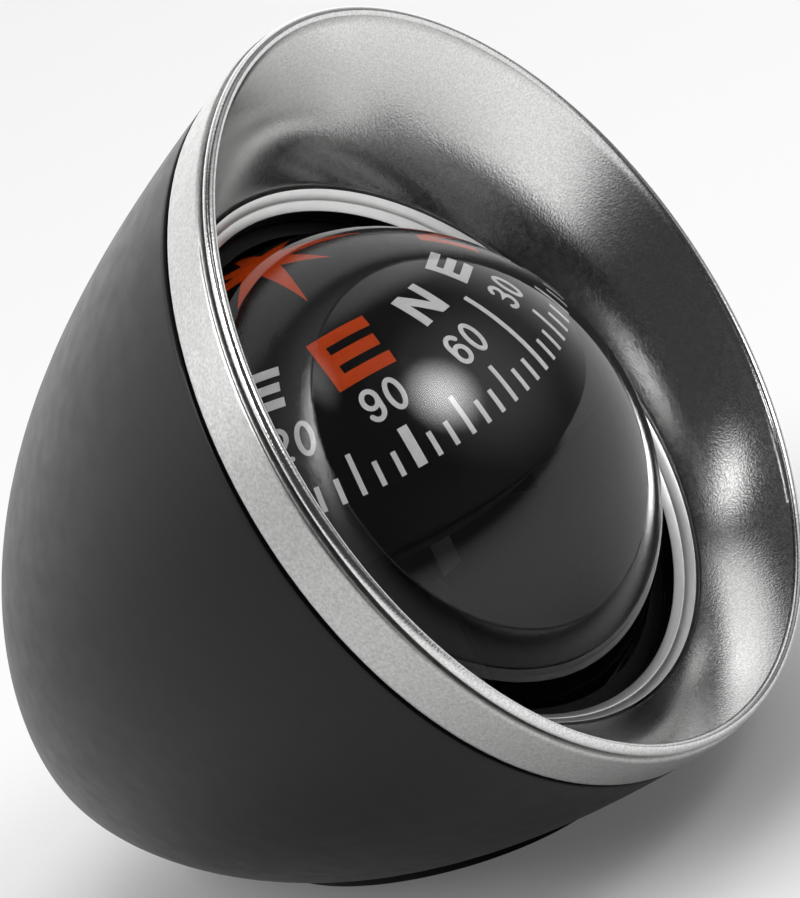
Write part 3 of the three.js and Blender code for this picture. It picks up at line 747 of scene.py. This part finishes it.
smooth(collar)
dressed(collar, collar_black, "gloss_black", "housing", "retaining_collar")

brass = Finish("turned_brass", (0.62, 0.42, 0.16), 0.32, 1.0)
turning = brass.node("ShaderNodeTexWave", {"wave_type": "RINGS"}, {
    "Vector": brass.place(), "Scale": 1800.0, "Distortion": 1.5})
brass.relief(turning[1], 0.004 * mm)
brass.set("Roughness", brass.ramp(brass.grain(1500.0), (0.3, 0.26), (0.7, 0.40)))
refinish(brass, "collar_screw_1", "collar_screw_2", "collar_screw_3", "filling_plug", "jewel_bush")

felt = Finish("black_felt", (0.015, 0.015, 0.015), 1.0)
fluff = felt.grain(7000.0, detail=6.0, roughness=0.8, distortion=1.0)
felt.relief(fluff, 0.06 * mm)
felt.set("Base Color", felt.shades(fluff, (0.008, 0.008, 0.008), (0.035, 0.035, 0.035)))
refinish(felt, "felt_ring")

satin_black = Finish("satin_black_plastic", (0.010, 0.010, 0.0105), 0.45)
satin_black.relief(satin_black.grain(5000.0, detail=3.0), 0.006 * mm)
satin_black.set("Roughness", satin_black.ramp(satin_black.grain(800.0), (0.3, 0.4), (0.7, 0.52)))
refinish(satin_black, "socket_cup")

# Swivel ring: natural nylon wedge behind the ball, pressed on by a bronze wave spring
nylon = Finish("natural_nylon", (0.62, 0.59, 0.52), 0.42)
nylon.relief(nylon.grain(2600.0, detail=3.0), 0.006 * mm)
nylon.set("Base Color", nylon.shades(
    nylon.grain(500.0, detail=4.0), (0.56, 0.53, 0.46), (0.68, 0.66, 0.60)))
refinish(nylon, "swivel_ring")

bronze = Finish("spring_bronze", (0.56, 0.33, 0.16), 0.28, 1.0)
bronze.relief(bronze.grain(9000.0, detail=2.0), 0.003 * mm)
bronze.set("Roughness", bronze.ramp(bronze.grain(1200.0), (0.3, 0.22), (0.7, 0.38)))
refinish(bronze, "wave_spring")

# Clear dome: the ball's front half, cast in clear acrylic and polished, full of liquid.
# Its outer face bends light as acrylic in air, its inner face as acrylic against liquid.
dome_wall = 1.2
dome_rim = 0.15
bend_in_air = 1.49
bend_on_liquid = 1.057
lamp_light = (0.93, 0.93, 0.93, 1.0)


def dome_section():
    inner_radius = ball_radius - dome_wall
    low_outer = math.degrees(math.asin(dome_rim / ball_radius))
    low_inner = math.degrees(math.asin(dome_rim / inner_radius))
    outer = arc(ball_radius, (0.0, 0.0), low_outer, 90.0, 48)
    inner = arc(inner_radius, (0.0, 0.0), 90.0, low_inner, 48)
    outer[-1] = (0.0, outer[-1][1])
    inner[0] = (0.0, inner[0][1])
    return [*inner, *outer]


def clear_finish(name, ior):
    """Clear plastic that lets lamps through to the card."""
    clear = Finish(name, (1.0, 1.0, 1.0), 0.0)
    clear.set("Transmission Weight", 1.0)
    clear.set("IOR", ior)
    faint = clear.grain(60.0)
    clear.set("Base Color", clear.shades(faint, (0.985, 0.985, 0.985), (1.0, 1.0, 1.0)))
    shadow_ray = clear.node("ShaderNodeLightPath")[1]
    clear.covered(shadow_ray, clear.node("ShaderNodeBsdfTransparent", None, {0: lamp_light})[0])
    return clear


dome = turned("capsule_dome_clear", dome_section(), 160)
smooth(dome, 60.0)
clear_outer = clear_finish("clear_dome_in_air", bend_in_air)
clear_inner = clear_finish("clear_dome_on_liquid", bend_on_liquid)
dressed(dome, clear_outer, "clear_dome", "capsule", "capsule_dome")
dome.data.materials.append(clear_inner.material)
for face in dome.data.polygons:
    outwards = face.normal.dot(face.center - ball_place * mm) > 0.0
    face.material_index = 0 if outwards else 1

# Seal, diaphragm and plug washer: black nitrile rubber, moulded or punched, squeezed
# between the halves and under the cap and the plug
seal_rubber = Finish("seal_rubber", (0.010, 0.010, 0.010), 0.7)
seal_rubber.relief(seal_rubber.grain(8000.0, detail=3.0), 0.008 * mm)
seal_rubber.set("Roughness", seal_rubber.ramp(seal_rubber.grain(1000.0), (0.3, 0.6), (0.7, 0.8)))
refinish(seal_rubber, "capsule_seal", "diaphragm", "plug_washer")

# Black bowl: the ball's rear half, moulded in gloss black, with a groove for the seal,
# the diaphragm's seat and vented cap behind, and a boss for the brass filling plug.
# Against liquid its inside hardly shines.
bowl_radius = 17.7
bowl_inner = 16.4
bowl_rim = -0.15
groove_outer = 17.45
groove_inner = 16.65
groove_floor = -0.85
seat_ahead = -15.6
boss_ahead = -14.4
boss_radius = 7.6
throat_radius = 4.6
cap_bore = 6.55
plug_lean = 36.0
plug_boss_radius = 2.3
plug_boss_inner = 15.4
plug_boss_outer = 17.05
plug_head_radius = 2.15
plug_head_floor = 16.25
plug_bore_radius = 1.25
plug_bore_inner = 12.0
plug_past = 20.0
wet_reach = 16.9


def down_to(radius, reach):
    """The angle below the ball's middle where a sphere is as wide as a reach."""
    return -math.degrees(math.acos(reach / radius))


bowl = turned_ring("capsule_bowl_black", [
    *arc(bowl_radius, (0.0, 0.0), down_to(bowl_radius, cap_bore),
         -math.degrees(math.asin(-bowl_rim / bowl_radius)), 40),
    (groove_outer, bowl_rim), (groove_outer, groove_floor),
    (groove_inner, groove_floor), (groove_inner, bowl_rim),
    *arc(bowl_inner, (0.0, 0.0), -math.degrees(math.asin(-bowl_rim / bowl_inner)),
         down_to(bowl_inner, boss_radius), 40),
    (boss_radius, boss_ahead), (throat_radius, boss_ahead), (throat_radius, seat_ahead),
    (cap_bore, seat_ahead),
])
plug_place = mouth_place @ Matrix.Rotation(math.radians(180.0 - plug_lean), 4, "X")


def rod(name, radius, bottom, top):
    """A plain rod along the filling hole's line."""
    return turned(name, [(0.0, bottom), (radius, bottom), (radius, top), (0.0, top)],
                  32, plug_place)


combined(bowl, rod("plug_boss", plug_boss_radius, plug_boss_inner, plug_boss_outer), "UNION")
combined(bowl, rod("plug_room", plug_head_radius, plug_head_floor, plug_past), "DIFFERENCE")
combined(bowl, rod("plug_bore", plug_bore_radius, plug_bore_inner, plug_past), "DIFFERENCE")
smooth(bowl)
gloss_black = Finish("gloss_black", (0.005, 0.005, 0.0055), 0.12)
gloss_black.relief(gloss_black.grain(1500.0, detail=2.0), 0.002 * mm)
gloss_black.set("Roughness", gloss_black.ramp(
    gloss_black.grain(900.0, detail=3.0), (0.3, 0.08), (0.7, 0.18)))
wet_black = Finish("black_in_liquid", (0.003, 0.003, 0.0033), 0.4)
wet_black.set("Specular IOR Level", 0.03)
wet_black.relief(wet_black.grain(1500.0, detail=2.0), 0.002 * mm)
wet_black.set("Roughness", wet_black.ramp(wet_black.grain(900.0), (0.3, 0.35), (0.7, 0.45)))
dressed(bowl, gloss_black, "gloss_black", "capsule", "capsule_bowl")
bowl.data.materials.append(wet_black.material)
for face in bowl.data.polygons:
    out = face.center - ball_place * mm
    is_wet = out.length < wet_reach * mm and face.normal.dot(out) < 0.0
    face.material_index = 1 if is_wet else 0
refinish(gloss_black, "diaphragm_cap")

# Pivot: a black post on the bowl's wall with a ground steel pin, and the ruby jewel that
# the card hangs on
refinish(wet_black, "pivot_post")

steel = Finish("ground_steel", (0.50, 0.51, 0.52), 0.24, 1.0)
steel.relief(steel.grain(9000.0, detail=2.0), 0.002 * mm)
steel.set("Roughness", steel.ramp(steel.grain(2000.0), (0.3, 0.18), (0.7, 0.32)))
refinish(steel, "pivot_pin")

ruby = Finish("ruby", (0.45, 0.01, 0.04), 0.05)
ruby.set("Base Color", ruby.shades(ruby.grain(1500.0), (0.38, 0.006, 0.03), (0.52, 0.015, 0.05)))
ruby.set("Coat Weight", 0.5)
refinish(ruby, "jewel_cup")

# Float and magnets: closed-cell foam inside the card, and under it a metal disc and two
# bar magnets, all dipped in black lacquer so that they don't show
float_foam = Finish("float_foam", (0.010, 0.010, 0.010), 0.8)
float_foam.set("Specular IOR Level", 0.03)
float_cells = float_foam.node(
    "ShaderNodeTexVoronoi", None, {"Vector": float_foam.place(), "Scale": 5000.0})[0]
float_foam.relief(float_cells, 0.03 * mm)
float_foam.set("Base Color", float_foam.shades(
    float_cells, (0.006, 0.006, 0.006), (0.02, 0.02, 0.02)))
refinish(float_foam, "card_float")

lacquer = Finish("black_lacquer", (0.004, 0.004, 0.0043), 0.4)
lacquer.set("Specular IOR Level", 0.03)
lacquer.relief(lacquer.grain(1800.0, detail=3.0), 0.005 * mm)
lacquer.set("Roughness", lacquer.ramp(lacquer.grain(900.0), (0.3, 0.35), (0.7, 0.48)))
refinish(lacquer, "magnet_carrier", "magnet_left", "magnet_right")

# Compass card: a thin black dome, moulded and lacquered, with a straight skirt. Its
# sphere's centre lies above the pivot, so that the card hangs upright.
card_radius = 13.8
card_wall = 0.9
card_skirt = 0.5
card_raise = 2.3
card_place = ball_place + Vector((0.0, 0.0, card_raise))
card_ease = 0.02
card_edge = 0.1


def card_section():
    outer_radius = card_radius - card_ease
    inner_radius = card_radius - card_wall
    outer = arc(outer_radius, (0.0, 0.0), 0.0, 90.0, 40)
    inner = arc(inner_radius, (0.0, 0.0), 90.0, 0.0, 40)
    outer[-1] = (0.0, outer[-1][1])
    inner[0] = (0.0, inner[0][1])
    low = [
        (inner_radius, -card_skirt + card_edge),
        (inner_radius + card_edge, -card_skirt),
        (outer_radius - card_edge, -card_skirt),
        (outer_radius, -card_skirt + card_edge),
    ]
    return [*inner, *low, *outer]


card = turned("compass_card_dome", card_section(), 160, Matrix.Translation(card_place * mm))
smooth(card, 60.0)
card_black = Finish("card_black", (0.005, 0.005, 0.0053), 0.35)
card_black.set("Specular IOR Level", 0.05)
card_black.relief(card_black.grain(2600.0, detail=3.0), 0.003 * mm)
card_black.set("Roughness", card_black.ramp(card_black.grain(900.0), (0.3, 0.3), (0.7, 0.4)))
dressed(card, card_black, "card_black", "card", "compass_card")

# Printing: pad printed on the card's dome. Ticks every 5 degrees, longer every 15, and
# numbers every 30 in light grey, which increase to the left because the card is read
# from outside.
ink_top = card_radius + 0.03
ink_bottom = card_radius - 0.01
flat_ink = 0.01
print_turn = 50.0
tick_foot = 13.0
short_tick_top = 19.0
long_tick_top = 23.0
half_wind_top = 38.0
wind_tick_width = 0.6
half_wind_tick_width = 0.36
tick_width = 0.3
least_mitre = 0.35
number_latitude = 30.5
number_height = 2.05
number_stroke = 0.29
digit_width = 1.12
digit_step = 1.42


def on_dome(piece, reading, latitude, aside=0.0):
    """Wraps a flat figure in the x-y plane on to the card, its top towards the pole."""
    turn = Matrix.Rotation(math.radians(print_turn - reading + aside), 3, "Z")
    tilt = Matrix.Rotation(math.radians(90.0 - latitude), 3, "X")
    for vertex in piece.data.vertices:
        flat = vertex.co
        out = turn @ (tilt @ Vector((flat.x, flat.y, card_radius * mm)))
        height = ink_top if flat.z > 0.0 else ink_bottom
        vertex.co = card_place * mm + out.normalized() * height * mm
    return piece


def inked(piece):
    """Gives a flat figure the ink's thickness."""
    only(piece)
    bpy.ops.object.mode_set(mode="EDIT")
    bpy.ops.mesh.select_all(action="SELECT")
    bpy.ops.mesh.remove_doubles(threshold=2.0 * weld * mm)
    bpy.ops.mesh.extrude_region_move(
        TRANSFORM_OT_translate={"value": (0.0, 0.0, flat_ink * mm)})
    bpy.ops.mesh.select_all(action="SELECT")
    bpy.ops.mesh.normals_make_consistent(inside=False)
    bpy.ops.object.mode_set(mode="OBJECT")
    return piece


def stroke(path, width, rounded=True, closed=False):
    """A line of ink along a path in the x-y plane, with mitred turns and round ends."""
    count = len(path)
    columns = []
    for number, (x, y) in enumerate(path):
        before = path[(number - 1) % count] if closed or number > 0 else None
        after = path[(number + 1) % count] if closed or number < count - 1 else None
        ways = []
        if before:
            ways.append(Vector((x - before[0], y - before[1])).normalized())
        if after:
            ways.append(Vector((after[0] - x, after[1] - y)).normalized())
        way = sum(ways, Vector((0.0, 0.0))).normalized()
        across = Vector((-way.y, way.x))
        reach = width / 2.0 / max(least_mitre, way.dot(ways[0]))
        columns.append((Vector((x, y)), across * reach, way))
    caps = []
    if rounded and not closed:
        for turn in (22.5, 45.0, 67.5, 88.0):
            along = math.sin(math.radians(turn)) * width / 2.0
            narrow = math.cos(math.radians(turn))
            caps.append((along, narrow))
        first, last = columns[0], columns[-1]
        start = [(first[0] - first[2] * along, first[1] * narrow, first[2])
                 for along, narrow in caps]
        end = [(last[0] + last[2] * along, last[1] * narrow, last[2])
               for along, narrow in caps]
        columns = [*start[::-1], *columns, *end]
    if closed:
        columns.append(columns[0])
    bpy.ops.object.select_all(action="DESELECT")
    bpy.ops.mesh.primitive_grid_add(x_subdivisions=len(columns) - 1, y_subdivisions=2, size=2.0)
    piece = bpy.context.object
    for vertex in piece.data.vertices:
        column = round((vertex.co.x + 1.0) * (len(columns) - 1) / 2.0)
        side = round(vertex.co.y)
        place, across, _ = columns[column]
        spot = place + across * side
        vertex.co = Vector((spot.x, spot.y, 0.0)) * mm
    return inked(piece)


def bow(x, y, wide, tall, first, last, steps=12):
    """Points on an oval arc, angles in degrees from the right."""
    points = []
    for step in range(steps + 1):
        angle = math.radians(first + (last - first) * step / steps)
        points.append((x + wide * math.cos(angle), y + tall * math.sin(angle)))
    return points


# Each digit's strokes in a box one high and one wide, as (closed, points)
digit_strokes = {
    "0": [(True, bow(0.0, 0.0, 0.5, 0.5, 90.0, 435.0, 23))],
    "1": [(False, [(-0.3, 0.3), (0.1, 0.5), (0.1, 0.0), (0.1, -0.5)])],
    "2": [(False, [*bow(0.0, 0.22, 0.48, 0.28, 165.0, -25.0), (-0.48, -0.5), (0.5, -0.5)])],
    "3": [(False, [*bow(-0.02, 0.26, 0.44, 0.24, 150.0, -90.0),
                   *bow(-0.02, -0.24, 0.5, 0.26, 85.0, -150.0)])],
    "4": [(False, [(0.2, -0.5), (0.2, 0.5), (-0.5, -0.2), (0.5, -0.2)])],
    "5": [(False, [(0.42, 0.5), (-0.36, 0.5), (-0.42, 0.06),
                   *bow(0.0, -0.18, 0.5, 0.32, 120.0, -150.0)])],
    "6": [(False, [*bow(0.0, 0.2, 0.5, 0.3, 25.0, 180.0), (-0.5, -0.18),
                   *bow(0.0, -0.2, 0.5, 0.3, 180.0, 525.0, 20)])],
    "7": [(False, [(-0.48, 0.5), (0.48, 0.5), (-0.12, -0.5)])],
    "8": [(True, bow(0.0, 0.26, 0.42, 0.24, -90.0, 255.0, 19)),
          (True, bow(0.0, -0.24, 0.5, 0.26, 90.0, 435.0, 19))],
}
digit_strokes["9"] = [
    (closed, [(-x, -y) for x, y in points]) for closed, points in digit_strokes["6"]]


def number_ink(reading):
    """A number's digits side by side, each stroke its own line of ink."""
    digits = str(reading)
    inks = []
    for spot, digit in enumerate(digits):
        middle = (spot - (len(digits) - 1) / 2.0) * digit_step
        tall = number_height - number_stroke
        wide = digit_width - number_stroke
        for closed, points in digit_strokes[digit]:
            path = [(middle + x * wide, y * tall) for x, y in points]
            inks.append(on_dome(
                stroke(path, number_stroke, True, closed), reading, number_latitude))
    return inks


def tick(reading, top, width):
    """One bar from the card's edge line upwards, along a meridian."""
    middle = (tick_foot + top) / 2.0
    half = math.tan(math.radians((top - tick_foot) / 2.0)) * card_radius
    path = [(0.0, -half + 2.0 * half * step / 6.0) for step in range(7)]
    return on_dome(stroke(path, width, False), reading, middle)


def joined(name, pieces, finish):
    """One printed layer: all its marks in one mesh with one ink."""
    bpy.ops.object.select_all(action="DESELECT")
    for piece in pieces:
        piece.select_set(True)
    bpy.context.view_layer.objects.active = pieces[0]
    bpy.ops.object.join()
    layer = fresh(name)
    layer.data.materials.clear()
    layer.data.materials.append(finish.material)
    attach(layer, "card")
    return layer


grey_ink = Finish("light_grey_ink", (0.68, 0.68, 0.68), 0.5)
grey_ink.relief(grey_ink.grain(6000.0, detail=2.0), 0.003 * mm)
grey_ink.set("Base Color", grey_ink.shades(
    grey_ink.grain(2500.0, detail=3.0), (0.62, 0.62, 0.62), (0.74, 0.74, 0.74)))

numbers = []
for reading in range(0, 360, 30):
    numbers.extend(number_ink(reading))
joined("card_numbers", numbers, grey_ink)

ticks = []
for reading in range(0, 360, 5):
    if reading % 90 == 0:
        ticks.append(tick(reading, long_tick_top, wind_tick_width))
    elif reading % 45 == 0:
        ticks.append(tick(reading, half_wind_top, half_wind_tick_width))
    elif reading % 15 == 0:
        ticks.append(tick(reading, long_tick_top, tick_width))
    else:
        ticks.append(tick(reading, short_tick_top, tick_width))
joined("card_ticks", ticks, grey_ink)

# Wind letters: bold, the four winds in orange and the half winds in light grey, and an
# eight-pointed star in orange on top
letter_latitude = 44.6
letter_height = 3.6
letter_width = 3.7
letter_stroke = 0.82
half_wind_height = 2.5
half_wind_width = 2.3
half_wind_stroke = 0.56
half_wind_aside = 13.5
star_long = 64.0
star_short = 72.0
star_notch = 83.0


def outline(points, cuts=3):
    """A flat figure from its outline, cut finely enough to follow the dome."""
    bpy.ops.object.select_all(action="DESELECT")
    bpy.ops.mesh.primitive_circle_add(vertices=len(points), radius=1.0, fill_type="NGON")
    piece = bpy.context.object
    for vertex, (x, y) in zip(piece.data.vertices, points):
        vertex.co = Vector((x, y, 0.0)) * mm
    bpy.ops.object.mode_set(mode="EDIT")
    bpy.ops.mesh.select_all(action="SELECT")
    bpy.ops.mesh.quads_convert_to_tris(quad_method="BEAUTY", ngon_method="BEAUTY")
    bpy.ops.mesh.subdivide(number_cuts=cuts)
    bpy.ops.object.mode_set(mode="OBJECT")
    return inked(piece)


def letter_e(width, height, line):
    wide, tall, bar = width / 2.0, height / 2.0, line / 2.0
    spine = -wide + line
    middle_arm = 0.9 * wide
    return outline([
        (-wide, -tall), (wide, -tall), (wide, -tall + line), (spine, -tall + line),
        (spine, -bar), (middle_arm, -bar), (middle_arm, bar), (spine, bar),
        (spine, tall - line), (wide, tall - line), (wide, tall), (-wide, tall)])


def letter_n(width, height, line):
    wide, tall = width / 2.0, height / 2.0
    slant = 1.25 * line
    corner = tall - 2.0 * tall * (2.0 * wide - line - slant) / (2.0 * wide - slant)
    return outline([
        (-wide, -tall), (-wide + line, -tall), (-wide + line, -corner),
        (wide - slant, -tall), (wide, -tall), (wide, tall), (wide - line, tall),
        (wide - line, corner), (-wide + slant, tall), (-wide, tall)])


def letter_w(width, height, line):
    wide, tall, bar = width / 2.0, height / 2.0, line / 2.0
    leg = wide / 2.0
    peak = tall - 2.2 * line
    valley = -tall + tall * line / (leg + bar) + 1.2 * line
    return outline([
        (-wide, tall), (-leg - bar, -tall), (-leg + bar, -tall), (0.0, peak),
        (leg - bar, -tall), (leg + bar, -tall), (wide, tall), (wide - line, tall),
        (leg, valley), (bar, tall), (-bar, tall), (-leg, valley), (-wide + line, tall)])


def letter_s(width, height, line):
    wide, tall = (width - line) / 2.0, (height - line) / 2.0
    path = [*bow(0.0, tall / 2.0, wide, tall / 2.0, 25.0, 270.0, 14),
            *bow(0.0, -tall / 2.0, wide, tall / 2.0, 90.0, -155.0, 14)[1:]]
    return stroke(path, line, False)


letter_makers = {"N": letter_n, "E": letter_e, "S": letter_s, "W": letter_w}
orange_ink = Finish("orange_ink", (0.56, 0.055, 0.003), 0.45)
orange_ink.set("Specular IOR Level", 0.1)
orange_ink.relief(orange_ink.grain(6000.0, detail=2.0), 0.003 * mm)
orange_ink.set("Base Color", orange_ink.shades(
    orange_ink.grain(2500.0, detail=3.0), (0.49, 0.045, 0.002), (0.63, 0.065, 0.004)))

winds = []
for reading, letter in ((0, "N"), (90, "E"), (180, "S"), (270, "W")):
    made = letter_makers[letter](letter_width, letter_height, letter_stroke)
    winds.append(on_dome(made, reading, letter_latitude))
joined("card_winds", winds, orange_ink)

half_winds = []
for reading, letters in ((45, "NE"), (135, "SE"), (225, "SW"), (315, "NW")):
    for letter, side in zip(letters, (-1.0, 1.0)):
        made = letter_makers[letter](half_wind_width, half_wind_height, half_wind_stroke)
        half_winds.append(on_dome(made, reading, letter_latitude, side * half_wind_aside))
joined("card_half_winds", half_winds, grey_ink)

star_points = []
for point in range(16):
    latitude = (star_long, star_notch, star_short, star_notch)[point % 4]
    reach = math.tan(math.radians(90.0 - latitude)) * card_radius
    angle = math.radians(22.5 * point)
    star_points.append((math.sin(angle) * reach, math.cos(angle) * reach))
joined("card_star", [on_dome(outline(star_points, 4), 90.0, 90.0)], orange_ink)
